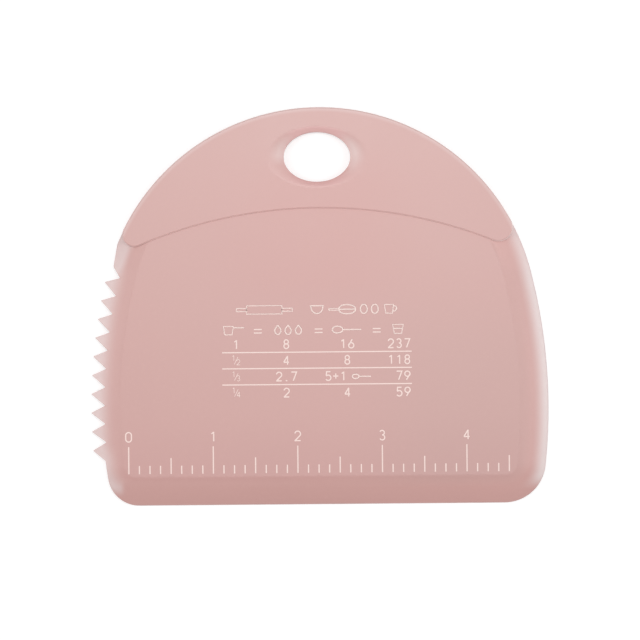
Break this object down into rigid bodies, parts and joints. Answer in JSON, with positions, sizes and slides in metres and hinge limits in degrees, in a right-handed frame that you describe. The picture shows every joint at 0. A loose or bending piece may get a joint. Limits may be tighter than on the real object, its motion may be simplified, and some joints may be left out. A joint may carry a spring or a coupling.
{
  "type": "dough scraper",
  "caption": "One-piece plastic dough scraper: rounded plate with a straight scraping edge, a toothed left side, a raised crescent grip with an oval hole, and a printed scale and table.",
  "frame": {"origin": "middle of the plate's outline, on the flat back", "axes": "+X along the straight edge, +Y from the straight edge towards the crown and the hole, +Z out of the printed face"},
  "size_m": [0.1375, 0.1194, 0.0036],
  "materials": {
    "moulded": "fine matte, dusty pink, coloured through",
    "ink": "matte printed ink, pale cream"
  },
  "bodies": {
    "root": {"scraper": "moulded", "scale_marks": "ink", "table_marks": "ink"}
  },
  "joints": []
}
